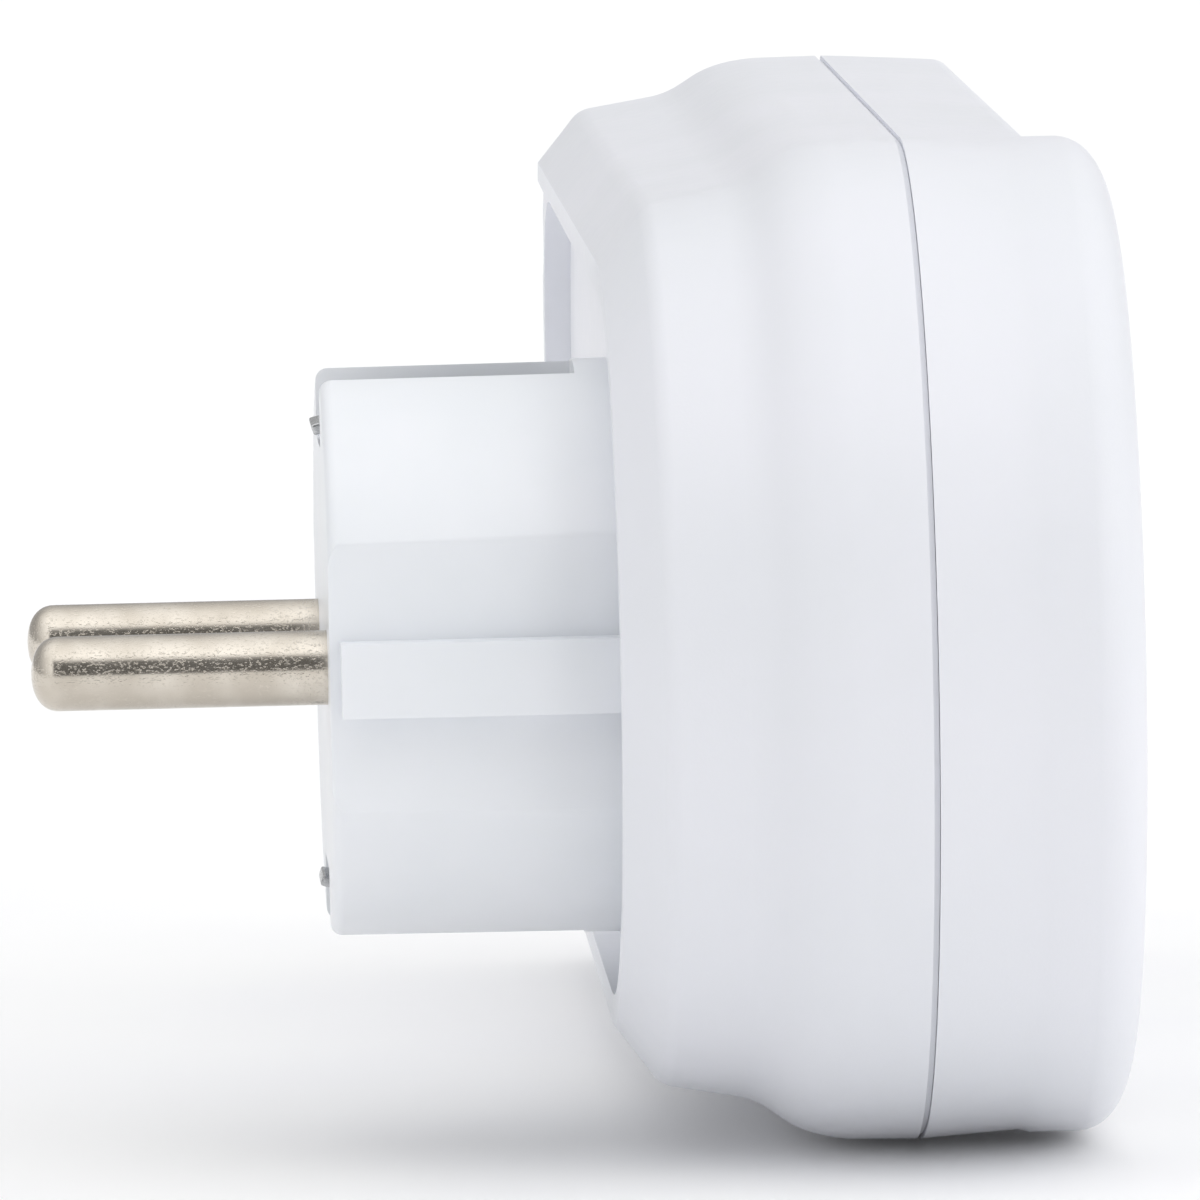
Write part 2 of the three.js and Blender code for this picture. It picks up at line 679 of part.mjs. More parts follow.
function screw() {
  const seat = screwSeatDepth - gap;
  const head = turned([[0, seat], [screwHeadRadius, seat], [screwHeadRadius, seat - 1.3],
    [screwHeadRadius - 0.8, seat - 2], [0, seat - 2]], 20);
  const slot = (turn) => {
    const arm = new THREE.BoxGeometry(3.2, 1, 0.6);
    arm.rotateY(turn);
    arm.translate(0, -seat + 2, 0);
    return solid(arm);
  };
  return cut(head.add(bar(0, 0, screwShankRadius, seat - 0.5, seamDepth + 4, 14)),
    slot(0), slot(Math.PI / 2));
}

// ---- assembly ----
const meter = new THREE.Group();

function place(name, body, material, x = 0, z = 0) {
  const mesh = new THREE.Mesh(geometryOf(body), material);
  mesh.name = name;
  mesh.position.set(x, 0, z);
  meter.add(mesh);
  return mesh;
}

place('rear_shell', rearShell(), whiteShell);
place('front_shell', frontShell(), whiteShell);

place('plug_body', plugBody(), plugPlastic);
place('line_pin', plugPin(), nickel, -pinSpacing / 2);
place('neutral_pin', plugPin(), nickel, pinSpacing / 2);
place('earth_strip_top', earthStrip(), springSteel);
const lowerStrip = place('earth_strip_bottom', earthStrip(), springSteel);
lowerStrip.rotation.y = Math.PI;
place('earth_bridge', block([-2.5, 2.5], [-23.3, -22.5],
  [-earthRest + 0.7, earthRest - 0.7]), copper);

place('socket_cup', socketCup(), whiteShell);
place('socket_shutter', shutter(), innerPlastic);
const spring = place('shutter_spring', shutterSpring(), springSteel);
spring.position.y = -(carrierFront + gap + 0.2);
place('contact_carrier', contactCarrier(), innerPlastic);
place('line_sleeve', contactSleeve(), brass, -pinSpacing / 2);
place('neutral_sleeve', contactSleeve(), brass, pinSpacing / 2);
place('line_strap', supplyStrap(-1), copper);
place('neutral_strap', supplyStrap(1), copper);

place('display_window', plate(roundedRectangle(0, 0, windowWidth, windowHeight, 1.3),
  displayDepth - windowThickness, displayDepth, 4), clear, displayX, displayZ);
place('lcd_glass', block([-glassWidth / 2, glassWidth / 2], [-glassFront, -glassBack],
  [-glassHeight / 2, glassHeight / 2]), lcdGrey, displayX, displayZ);
place('lcd_frame', displayFrame(), innerPlastic);
for (const [name, side] of [['upper', 1], ['lower', -1]]) {
  place(`contact_strip_${name}`, block([-glassWidth / 2 + 1, glassWidth / 2 - 1],
    [-glassBack + gap, -displayBoardFront - gap], [-1, 1]), rubber,
  displayX, displayZ + side * (glassHeight / 2 - 1.4));
}
keyPlaces.forEach((x, i) => {
  place(`key_${i + 1}`, key(), keyGrey, x, keyRow);
  place(`key_switch_${i + 1}`, keySwitch(), black, x, keyRow);
});

place('display_board', displayBoard(), boardGreen);
place('power_board', powerBoard(), boardGreen);
place('film_capacitor', onPowerBoard(powerBoardX + 12, 8, 18, 7.5, 8), capYellow);
place('current_shunt', currentShunt(), copper);
place('varistor', varistor(), capBlue);
place('storage_capacitor', electrolytic(), black, powerBoardX + 12, -9);
place('metering_chip', onPowerBoard(powerBoardX - 1, 6, 5.2, 8, 1.7), black);
place('controller_chip', behindDisplayBoard(displayBoardX - 6.5, -4, 10, 10, 1.5), black);
place('crystal', behindDisplayBoard(displayBoardX + 5.5, -4, 8, 3.4, 2.4), springSteel);
place('backup_cell', backupCell(), springSteel, displayBoardX - 14.5, 17);
place('board_link', block([powerBoardX - 20, powerBoardX - 4],
  [-displayBoardBack, -powerBoardFront], [-14.3, -11.8]), black);

screwPlaces.forEach(([x, z], i) => place(`screw_${i + 1}`, screw(), springSteel, x, z));

export default meter;
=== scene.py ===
# Plug-in power meter: fine shells, plug, pins, socket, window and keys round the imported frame
import math

import bmesh
import bpy
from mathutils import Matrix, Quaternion, Vector


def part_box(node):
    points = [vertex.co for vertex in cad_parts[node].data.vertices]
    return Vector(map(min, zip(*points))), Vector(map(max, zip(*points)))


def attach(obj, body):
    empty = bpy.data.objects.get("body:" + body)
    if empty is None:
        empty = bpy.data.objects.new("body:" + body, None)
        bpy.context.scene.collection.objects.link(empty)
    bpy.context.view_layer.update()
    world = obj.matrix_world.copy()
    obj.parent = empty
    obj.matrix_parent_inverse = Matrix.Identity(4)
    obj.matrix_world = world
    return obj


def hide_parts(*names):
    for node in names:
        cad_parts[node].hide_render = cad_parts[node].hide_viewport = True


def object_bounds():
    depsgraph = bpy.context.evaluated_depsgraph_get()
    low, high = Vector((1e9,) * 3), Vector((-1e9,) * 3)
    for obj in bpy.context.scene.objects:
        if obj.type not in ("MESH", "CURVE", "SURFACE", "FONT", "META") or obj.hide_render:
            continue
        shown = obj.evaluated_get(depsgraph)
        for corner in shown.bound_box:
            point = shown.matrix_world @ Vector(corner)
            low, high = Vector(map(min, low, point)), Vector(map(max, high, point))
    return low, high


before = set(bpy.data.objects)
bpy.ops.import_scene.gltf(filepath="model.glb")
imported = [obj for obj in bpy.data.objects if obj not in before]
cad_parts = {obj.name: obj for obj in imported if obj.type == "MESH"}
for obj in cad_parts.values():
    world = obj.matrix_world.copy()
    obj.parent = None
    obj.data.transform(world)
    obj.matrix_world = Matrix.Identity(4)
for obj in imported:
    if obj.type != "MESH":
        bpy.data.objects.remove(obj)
cadLow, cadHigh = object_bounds()  # the bounds of the imported frame
bpy.ops.object.select_all(action="DESELECT")
mm = 0.001
print("frame loaded:", len(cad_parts), "nodes")


# ---------- colours and nodes ----------
def hexColour(code, alpha=1.0):  # sRGB hex to the linear colour that shaders want
    shares = [int(code[i:i + 2], 16) / 255 for i in (0, 2, 4)]
    return tuple(s / 12.92 if s <= 0.04045 else ((s + 0.055) / 1.055) ** 2.4 for s in shares) + (alpha,)


def addNode(tree, kind, inputs=None, **settings):
    made = tree.nodes.new(kind)
    for name, value in settings.items():
        setattr(made, name, value)
    for name, value in (inputs or {}).items():
        if isinstance(value, bpy.types.NodeSocket):
            tree.links.new(value, made.inputs[name])
        else:
            made.inputs[name].default_value = value
    return made


def newMaterial(name, **shaderValues):
    material = bpy.data.materials.new(name)
    material.use_nodes = True
    tree = material.node_tree
    shader = tree.nodes["Principled BSDF"]
    for socket, value in shaderValues.items():
        shader.inputs[socket].default_value = value
    place = addNode(tree, "ShaderNodeTexCoord").outputs["Object"]
    return material, tree, shader, place


def stretched(tree, place, scale):  # squeezes or stretches a pattern along the axes
    return addNode(tree, "ShaderNodeMapping", {"Vector": place, "Scale": scale}).outputs["Vector"]


def noise(tree, place, size, detail=2.0, rough=0.5):  # size is the pattern's real size in mm
    return addNode(tree, "ShaderNodeTexNoise", {
        "Vector": place, "Scale": 1 / (size * mm), "Detail": detail, "Roughness": rough,
    }).outputs["Fac"]


def blendColours(tree, factor, low, high):
    ramp = addNode(tree, "ShaderNodeValToRGB", {"Fac": factor})
    ramp.color_ramp.elements[0].position, ramp.color_ramp.elements[1].position = 0.35, 0.65
    ramp.color_ramp.elements[0].color = hexColour(low)
    ramp.color_ramp.elements[1].color = hexColour(high)
    return ramp.outputs["Color"]


def spread(tree, factor, low, high):  # a pattern's middle range stretched to low .. high
    return addNode(tree, "ShaderNodeMapRange", {
        "Value": factor, "From Min": 0.3, "From Max": 0.7, "To Min": low, "To Max": high,
    }).outputs["Result"]


def bump(tree, shader, height, depth, strength=1.0, under=None):  # depth in mm
    values = {"Height": height, "Distance": depth * mm, "Strength": strength}
    if under is not None:
        values["Normal"] = under
    normal = addNode(tree, "ShaderNodeBump", values).outputs["Normal"]
    tree.links.new(normal, shader.inputs["Normal"])
    return normal


# ---------- finishes ----------
def mouldedPlastic(name, spec):
    # injection-moulded: an even skin, a fine spark-eroded grain, and faint clouding where it cooled
    material, tree, shader, place = newMaterial(name, **{"IOR": spec.get("ior", 1.53)})
    cloud = noise(tree, place, spec["cloud"], 3.0)
    tree.links.new(blendColours(tree, cloud, spec["shade"], spec["colour"]), shader.inputs["Base Color"])
    grain = noise(tree, place, spec["grain"], 3.0, 0.6)
    mottle = noise(tree, place, spec["grain"] * 6, 2.0)
    tree.links.new(spread(tree, mottle, *spec["roughness"]), shader.inputs["Roughness"])
    sink = bump(tree, shader, cloud, spec["sink"], 0.5)
    bump(tree, shader, grain, spec["depth"], 0.6, sink)
    shader.inputs["Subsurface Weight"].default_value = spec.get("glow", 0.0)
    shader.inputs["Subsurface Radius"].default_value = (0.9, 0.9, 1.0)
    shader.inputs["Subsurface Scale"].default_value = 0.6 * mm
    return material


def platedNickel(name, spec):
    # nickel over brass: warm grey mirror, dulled by drawing lines along it, pits and handling marks
    material, tree, shader, place = newMaterial(name, **{"Metallic": 1.0})
    drawn = noise(tree, stretched(tree, place, spec["draw"]), spec["line"], 3.0, 0.6)
    pits = noise(tree, stretched(tree, place, spec["pitStretch"]), spec["pit"], 2.0, 0.7)
    pitMask = addNode(tree, "ShaderNodeMapRange", {
        "Value": pits, "From Min": 0.56, "From Max": 0.66, "To Min": 0.0, "To Max": 1.0}).outputs["Result"]
    handled = noise(tree, place, spec["handled"], 2.0)
    clean = blendColours(tree, handled, spec["shade"], spec["colour"])
    dull = addNode(tree, "ShaderNodeMix", {
        0: pitMask, 6: clean, 7: hexColour(spec["pitColour"])}, data_type="RGBA").outputs[2]
    tree.links.new(dull, shader.inputs["Base Color"])
    tree.links.new(spread(tree, drawn, *spec["roughness"]), shader.inputs["Roughness"])
    lines = bump(tree, shader, drawn, spec["lineDepth"], 0.4)
    bump(tree, shader, pitMask, -spec["pitDepth"], 0.5, lines)
    return material


def stampedMetal(name, spec):
    # strip stamped and bent cold: rolling lines along it and a slight tarnish
    material, tree, shader, place = newMaterial(name, **{"Metallic": 1.0})
    rolled = noise(tree, stretched(tree, place, spec["along"]), spec["line"], 3.0, 0.6)
    tarnish = noise(tree, place, spec["tarnish"], 3.0)
    tree.links.new(blendColours(tree, tarnish, spec["shade"], spec["colour"]), shader.inputs["Base Color"])
    tree.links.new(spread(tree, rolled, *spec["roughness"]), shader.inputs["Roughness"])
    bump(tree, shader, rolled, spec["depth"], 0.5)
    return material


def solderMask(name, spec):
    # glass-epoxy board under green lacquer: the weave shows faintly, and tracks run as raised bands
    material, tree, shader, place = newMaterial(name, **{"IOR": 1.5})
    weave = addNode(tree, "ShaderNodeTexChecker", {
        "Vector": place, "Scale": 1 / (spec["thread"] * mm)}).outputs["Fac"]
    tracks = addNode(tree, "ShaderNodeTexBrick", {
        "Vector": place, "Scale": 1 / (spec["track"] * mm),
        "Color1": hexColour(spec["colour"]), "Color2": hexColour(spec["shade"]),
        "Mortar": hexColour(spec["line"]), "Mortar Size": 0.05})
    tree.links.new(tracks.outputs["Color"], shader.inputs["Base Color"])
    tree.links.new(spread(tree, weave, *spec["roughness"]), shader.inputs["Roughness"])
    under = bump(tree, shader, weave, 0.01, 0.3)
    bump(tree, shader, tracks.outputs["Fac"], 0.03, 0.5, under)
    return material


def clearWindow(name, spec):
    # clear moulded polycarbonate: polished, a little green in the thickness, with fine wipe marks
    material, tree, shader, place = newMaterial(name, **{
        "IOR": 1.58, "Transmission Weight": 1.0, "Base Color": hexColour(spec["colour"])})
    wipes = noise(tree, stretched(tree, place, (1, 1, 6)), spec["wipe"], 3.0, 0.6)
    tree.links.new(spread(tree, wipes, *spec["roughness"]), shader.inputs["Roughness"])
    bump(tree, shader, wipes, 0.002, 0.2)
    return material


def displayGlass(name, spec):
    # polarised display: grey-green, with the faint even grid of its rear reflector
    material, tree, shader, place = newMaterial(name, **{"IOR": 1.52})
    dots = addNode(tree, "ShaderNodeTexVoronoi", {
        "Vector": place, "Scale": 1 / (spec["dot"] * mm), "Randomness": 0.2}).outputs["Distance"]
    cloud = noise(tree, place, spec["cloud"], 2.0)
    tree.links.new(blendColours(tree, cloud, spec["shade"], spec["colour"]), shader.inputs["Base Color"])
    tree.links.new(spread(tree, dots, *spec["roughness"]), shader.inputs["Roughness"])
    bump(tree, shader, dots, 0.004, 0.3)
    return material


print("making finishes")
finishes = {
    "absSatinShell": mouldedPlastic("absSatinShell", {
        "colour": "E9EAF0", "shade": "E5E7EC", "cloud": 26, "sink": 0.05,
        "grain": 0.22, "depth": 0.012, "roughness": (0.40, 0.52), "glow": 0.12}),
    "polyamidePlugBody": mouldedPlastic("polyamidePlugBody", {
        "colour": "EFF1F5", "shade": "EAEDF1", "cloud": 15, "sink": 0.05,
        "grain": 0.3, "depth": 0.006, "roughness": (0.33, 0.42), "glow": 0.12}),
    "absSocketCup": mouldedPlastic("absSocketCup", {
        "colour": "E8E9EE", "shade": "E2E4E8", "cloud": 18, "sink": 0.04,
        "grain": 0.3, "depth": 0.006, "roughness": (0.30, 0.40)}),
    "polyamideInner": mouldedPlastic("polyamideInner", {
        "colour": "D9DCDE", "shade": "CDD1D4", "cloud": 9, "sink": 0.03,
        "grain": 0.3, "depth": 0.01, "roughness": (0.45, 0.6)}),
    "absGreyKey": mouldedPlastic("absGreyKey", {
        "colour": "B9BFC8", "shade": "AEB5BF", "cloud": 6, "sink": 0.02,
        "grain": 0.2, "depth": 0.01, "roughness": (0.42, 0.55)}),
    "epoxyBlackCase": mouldedPlastic("epoxyBlackCase", {
        "colour": "26272A", "shade": "1C1D1F", "cloud": 4, "sink": 0.02,
        "grain": 0.12, "depth": 0.01, "roughness": (0.5, 0.68)}),
    "siliconeRubberStrip": mouldedPlastic("siliconeRubberStrip", {
        "colour": "3B3B3E", "shade": "2E2E31", "cloud": 5, "sink": 0.02, "ior": 1.41,
        "grain": 0.4, "depth": 0.012, "roughness": (0.7, 0.85)}),
    "polyesterYellowCase": mouldedPlastic("polyesterYellowCase", {
        "colour": "D9AF35", "shade": "CBA02A", "cloud": 7, "sink": 0.03,
        "grain": 0.3, "depth": 0.01, "roughness": (0.3, 0.45)}),
    "epoxyBlueDip": mouldedPlastic("epoxyBlueDip", {
        "colour": "2C4F93", "shade": "223F7A", "cloud": 3, "sink": 0.08,
        "grain": 0.5, "depth": 0.02, "roughness": (0.2, 0.35)}),
    "drawnNickelPin": platedNickel("drawnNickelPin", {
        "colour": "D8D1C6", "shade": "C6BEB2", "draw": (1, 0.05, 1), "line": 0.12, "lineDepth": 0.006,
        "pitStretch": (1, 0.6, 1), "pit": 0.16, "pitDepth": 0.02, "pitColour": "CFC7BB",
        "handled": 3.0, "roughness": (0.13, 0.24)}),
    "stampedSpringSteel": stampedMetal("stampedSpringSteel", {
        "colour": "C9CACB", "shade": "B2B3B5", "along": (1, 0.08, 1), "line": 0.15, "depth": 0.006,
        "tarnish": 3, "roughness": (0.2, 0.36)}),
    "stampedBrass": stampedMetal("stampedBrass", {
        "colour": "D3B266", "shade": "BE9A4C", "along": (1, 0.1, 1), "line": 0.2, "depth": 0.008,
        "tarnish": 4, "roughness": (0.22, 0.38)}),
    "rolledCopper": stampedMetal("rolledCopper", {
        "colour": "CF8B60", "shade": "B87145", "along": (0.1, 1, 1), "line": 0.2, "depth": 0.008,
        "tarnish": 4, "roughness": (0.28, 0.45)}),
    "greenSolderMask": solderMask("greenSolderMask", {
        "colour": "1F5B38", "shade": "1A5232", "line": "2F7549", "thread": 0.5, "track": 6,
        "roughness": (0.28, 0.4)}),
    "clearPolycarbonate": clearWindow("clearPolycarbonate", {
        "colour": "F2F6F4", "wipe": 1.5, "roughness": (0.02, 0.07)}),
    "polarisedDisplay": displayGlass("polarisedDisplay", {
        "colour": "B4BDA9", "shade": "A9B39D", "cloud": 16, "dot": 0.3, "roughness": (0.18, 0.3)}),
    "displayInk": mouldedPlastic("displayInk", {
        "colour": "2A302C", "shade": "232925", "cloud": 4, "sink": 0.01,
        "grain": 0.3, "depth": 0.004, "roughness": (0.3, 0.4)}),
}


# ---------- modelling ----------
def startOn(piece):
    if bpy.context.object and bpy.context.object.mode == "EDIT":
        bpy.ops.object.mode_set(mode="OBJECT")
    bpy.ops.object.select_all(action="DESELECT")
    piece.select_set(True)
    bpy.context.view_layer.objects.active = piece


def settled(name):  # puts the new primitive's place into its mesh
    piece = bpy.context.object
    piece.name = name
    piece.data.name = name
    bpy.ops.object.transform_apply(location=True, rotation=True, scale=True)
    return piece


def pick(piece, kind, test):  # selects in edit mode what passes the test
    if piece.mode != "EDIT":
        startOn(piece)
        bpy.ops.object.mode_set(mode="EDIT")
    bpy.ops.mesh.select_mode(type=kind)
    bpy.ops.mesh.select_all(action="DESELECT")
    mesh = bmesh.from_edit_mesh(piece.data)
    parts = {"VERT": mesh.verts, "EDGE": mesh.edges, "FACE": mesh.faces}[kind]
    for part in parts:
        if test(part):
            part.select_set(True)
    bmesh.update_edit_mesh(piece.data)


def closeUp(piece):  # doubles merged and faces turned outward
    pick(piece, "VERT", lambda v: True)
    bpy.ops.mesh.remove_doubles(threshold=0.002 * mm)
    bpy.ops.mesh.select_all(action="SELECT")
    bpy.ops.mesh.normals_make_consistent(inside=False)
    bpy.ops.object.mode_set(mode="OBJECT")
    return piece


def traced(name, points):  # a line drawn by extruding one corner from point to point
    bpy.ops.mesh.primitive_plane_add(size=mm, location=points[0])
    piece = settled(name)
    bpy.ops.object.mode_set(mode="EDIT")
    bpy.ops.mesh.select_mode(type="VERT")
    bpy.ops.mesh.select_all(action="SELECT")
    bpy.ops.mesh.merge(type="CENTER")
    for here, there in zip(points, points[1:]):
        bpy.ops.mesh.extrude_region_move(TRANSFORM_OT_translate={"value": there - here})
    return piece


def profilePoints(profile):  # (radius, depth) in mm to points above the plug's axis
    return [Vector((0, -depth * mm, radius * mm)) for radius, depth in profile]


def turned(name, profile, steps=128):  # a closed profile spun right round the plug's axis
    piece = traced(name, profilePoints(profile))
    bpy.ops.mesh.select_all(action="SELECT")
    bpy.ops.mesh.spin(steps=steps, angle=2 * math.pi, center=(0, 0, 0), axis=(0, 1, 0))
    return closeUp(piece)


def longForm(name, profile, reach, taper, steps=96):  # half turned, then drawn out to the far end
    first, last = profile[0][1], profile[-1][1]
    piece = traced(name, profilePoints([(0, first), *profile, (0, last)]))
    bpy.ops.mesh.select_all(action="SELECT")
    bpy.ops.mesh.spin(steps=steps, angle=math.pi, center=(0, 0, 0), axis=(0, 1, 0))
    closeUp(piece)
    near = 0.001 * mm
    pick(piece, "EDGE", lambda e: all(abs(v.co.x) < near for v in e.verts) and e.is_boundary)
    bpy.ops.mesh.extrude_region_move(TRANSFORM_OT_translate={"value": (reach * mm, 0, 0)})
    bpy.ops.mesh.edge_face_add()
    pick(piece, "VERT", lambda v: v.co.x > (reach - 1) * mm)
    bpy.ops.transform.resize(value=(1, 1, 1 - taper * reach), center_override=(0, 0, 0))
    return closeUp(piece)


def rod(name, x, z, radius, fromDepth, toDepth, sides=64):  # a round bar along the plug's axis
    bpy.ops.mesh.primitive_cylinder_add(
        vertices=sides, radius=radius * mm, depth=(toDepth - fromDepth) * mm,
        location=(x * mm, -(fromDepth + toDepth) / 2 * mm, z * mm), rotation=(math.pi / 2, 0, 0))
    return settled(name)


def slab(name, x, depth, z):  # a block between two values each way
    sizes = [(high - low) * mm for low, high in (x, depth, z)]
    bpy.ops.mesh.primitive_cube_add(
        size=1, location=(sum(x) / 2 * mm, -sum(depth) / 2 * mm, sum(z) / 2 * mm), scale=sizes)
    return settled(name)


def roundedSlab(name, x, depth, z, radius, segments=8):  # its edges along the depth rounded
    piece = slab(name, x, depth, z)
    pick(piece, "EDGE", lambda e: abs(e.verts[0].co.y - e.verts[1].co.y) > 0.1 * mm)
    bpy.ops.mesh.bevel(offset=radius * mm, segments=segments)
    bpy.ops.object.mode_set(mode="OBJECT")
    return piece


def combine(piece, tools, operation):
    for tool in tools:
        startOn(piece)
        change = piece.modifiers.new("cut", "BOOLEAN")
        change.operation = operation
        change.solver = "EXACT"
        change.object = tool
        bpy.ops.object.modifier_apply(modifier=change.name)
        bpy.data.objects.remove(tool)
    return piece


def cutAway(piece, *tools):
    return combine(piece, tools, "DIFFERENCE")


def joinOn(piece, *tools):
    return combine(piece, tools, "UNION")


def keepWithin(piece, *tools):
    return combine(piece, tools, "INTERSECT")


def joined(pieces):  # separate bodies as one object
    startOn(pieces[0])
    for other in pieces[1:]:
        other.select_set(True)
    bpy.ops.object.join()
    return pieces[0]


def cleanMesh(piece):  # slivers and doubles left where two cuts meet
    pick(piece, "VERT", lambda v: True)
    bpy.ops.mesh.remove_doubles(threshold=0.012 * mm)
    bpy.ops.mesh.dissolve_degenerate(threshold=0.006 * mm)
    bpy.ops.mesh.delete_loose()
    bpy.ops.object.mode_set(mode="OBJECT")


def copied(piece, name, step):  # another of the same, with its own mesh, moved by step
    other = piece.copy()
    other.data = piece.data.copy()
    other.name = name
    bpy.context.scene.collection.objects.link(other)
    shifted(other, step)
    return other


def shifted(piece, step):
    startOn(piece)
    bpy.ops.transform.translate(value=step)
    bpy.ops.object.transform_apply(location=True, rotation=True, scale=True)


def breakEdges(piece, width, segments=2, angle=35):  # the small radius that a mould leaves on every edge
    cleanMesh(piece)
    startOn(piece)
    change = piece.modifiers.new("edges", "BEVEL")
    change.width = width * mm
    change.segments = segments
    change.limit_method = "ANGLE"
    change.angle_limit = math.radians(angle)
    change.use_clamp_overlap = True
    change.miter_outer = "MITER_ARC"
    bpy.ops.object.modifier_apply(modifier=change.name)
    return piece


def soften(piece, levels=2):
    startOn(piece)
    change = piece.modifiers.new("soft", "SUBSURF")
    change.levels = change.render_levels = levels
    bpy.ops.object.modifier_apply(modifier=change.name)
    return piece


def smoothFaces(piece, angle=32):
    startOn(piece)
    bpy.ops.object.shade_smooth_by_angle(angle=math.radians(angle))
    change = piece.modifiers.new("normals", "WEIGHTED_NORMAL")
    change.keep_sharp = True
    change.weight = 80
    bpy.ops.object.modifier_apply(modifier=change.name)
    return piece


def finishPiece(piece, finish, body, nodes):
    smoothFaces(piece)
    piece.data.materials.clear()
    piece.data.materials.append(finishes[finish])
    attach(piece, body)
    if nodes:
        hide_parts(*nodes)
    print("  ", piece.name, len(piece.data.polygons), "faces")
    return piece


def curve(start, leave, arrive, end, steps):  # points along a cubic curve, both ends included
    points = []
    for k in range(steps + 1):
        t = k / steps
        shares = ((1 - t) ** 3, 3 * t * (1 - t) ** 2, 3 * t * t * (1 - t), t ** 3)
        points.append(tuple(
            sum(s * p[i] for s, p in zip(shares, (start, leave, arrive, end))) for i in (0, 1)))
    return points


def roundedLine(corners, steps=5):  # corners are (radius, depth, how far the rounding reaches)
    points = []
    for i, (r, d, reach) in enumerate(corners):
        if reach == 0 or i in (0, len(corners) - 1):
            points.append((r, d))
            continue
        here = Vector((r, d))
        before = here + (Vector(corners[i - 1][:2]) - here).normalized() * reach
        after = here + (Vector(corners[i + 1][:2]) - here).normalized() * reach
        points.extend(curve(before, here.lerp(before, 0.4), here.lerp(after, 0.4), after, steps))
    return points


# ---------- housing ----------
housing = {
    "endRadius": 32.5,  # of the round end at the parting line
    "length": 96,  # plug axis to the far corners
    "bulge": 3.98,  # how far the far end bows out
    "taper": 0.00065,
    "reach": 110,  # how far the form is drawn before the far end is cut
    "cornerStart": 93.2,  # where the side starts to turn into the far corner
    "cornerTurn": 95.1,
    "cornerDrop": 5.6,  # how far in from the side the corner meets the bow
    "sideSlope": -0.021,
    "cutStart": -50,  # clear of the round end
}
farX = housing["length"] + housing["bulge"]
bowRadius = (housing["endRadius"] ** 2 + housing["bulge"] ** 2) / (2 * housing["bulge"])


def farEnd(name, inset):  # a prism whose plan is the bowed far end with its two rounded corners
    h = housing
    top = h["endRadius"] * (1 - h["taper"] * h["cornerStart"]) + 0.02 - inset
    arrive = h["endRadius"] - h["cornerDrop"] - inset
    bow = bowRadius - inset
    centre = farX - bowRadius
    onBow = centre + math.sqrt(bow ** 2 - arrive ** 2)
    slope = h["sideSlope"]
    nearTop = top - slope * (h["cornerStart"] - h["cutStart"])
    side = [(h["cutStart"], nearTop), (h["cornerStart"] - inset, top)]
    leave = (h["cornerTurn"] - inset, top + slope * (h["cornerTurn"] - h["cornerStart"]))
    corner = curve(side[1], leave, (onBow - 0.25, arrive + 1.4), (onBow, arrive), 8)
    end = [(centre + math.sqrt(bow ** 2 - z ** 2), z) for z in (arrive * (1 - k / 14) for k in range(1, 15))]
    half = [side[0], *corner, *end]
    plan = half + [(x, -z) for x, z in reversed(half[:-1])]
    points = [Vector((x * mm, 5 * mm, z * mm)) for x, z in plan + plan[:1]]
    piece = traced(name, points)
    bpy.ops.mesh.select_all(action="SELECT")
    bpy.ops.mesh.remove_doubles(threshold=0.002 * mm)
    bpy.ops.mesh.edge_face_add()
    bpy.ops.mesh.extrude_region_move(TRANSFORM_OT_translate={"value": (0, -75 * mm, 0)})
    return closeUp(piece)


def housingForm(name, profile, inset):  # one profile, cut at the far end to its bow
    piece = longForm(name, profile, housing["reach"], housing["taper"])
    return keepWithin(piece, farEnd(name + "End", inset))


def roundFarRim(piece, depth, offset, segments):  # rounds the far end's rim at one depth
    def onRim(edge):
        return all(abs(v.co.y + depth * mm) < 0.01 * mm and
                   v.co.x > (farX - 5.5) * mm for v in edge.verts) and edge.calc_face_angle(0) > 0.8
    pick(piece, "EDGE", onRim)
    bpy.ops.mesh.bevel(offset=offset * mm, segments=segments, clamp_overlap=True)
    bpy.ops.object.mode_set(mode="OBJECT")


rearShell = {
    "rim": 18.3, "seam": 37.6,
    "outline": [(24.7, 18.3, 0), (28.6, 21.2, 0.7), (29.5, 26.2, 0)],
    "swell": [(29.5, 26.2), (30.1, 29.0), (31.95, 28.7), (32.4, 33.2)],
    "tongue": [(30.2, 33.8), (30.2, 39.6)],
    "cavity": [(23.9, 22.1), (26.6, 23.7), (27.5, 27.6), (29.2, 33.2), (29.2, 42.0)],
    "band": [(32.2, 37.0), (32.2, 37.97)], "bandInset": 0.3,  # the light line inside the parting groove
    "tongueInset": 2.3, "cavityInset": 3.3,
    "dishRadius": 22.7, "dishFloor": 20.1, "dishEnd": 91.5, "dishCorner": 14,
    "lip": 2.0, "pocketDepth": 21.2, "pocketStart": 69.5, "rail": 1.3,
    "plugHole": 18.9,
    "screws": [(25, 17), (25, -17), (93.2, 18.6), (93.2, -18.6)],
    "wellRadius": 2.9, "wellFloor": 27.0, "bossRadius": 4.4,
}


def dishForm(name, radius, fromDepth, toDepth, far):  # round at the plug, blunt at the far end
    piece = longForm(name, [(radius, fromDepth), (radius, toDepth)], far, housing["taper"] * 0.6, 64)
    pick(piece, "EDGE", lambda e: all(v.co.x > (far - 0.5) * mm for v in e.verts)
         and abs(e.verts[0].co.y - e.verts[1].co.y) > 0.1 * mm and abs(e.verts[0].co.z) > mm)
    bpy.ops.mesh.bevel(offset=rearShell["dishCorner"] * mm, segments=14, profile=0.58)
    bpy.ops.object.mode_set(mode="OBJECT")
    return piece


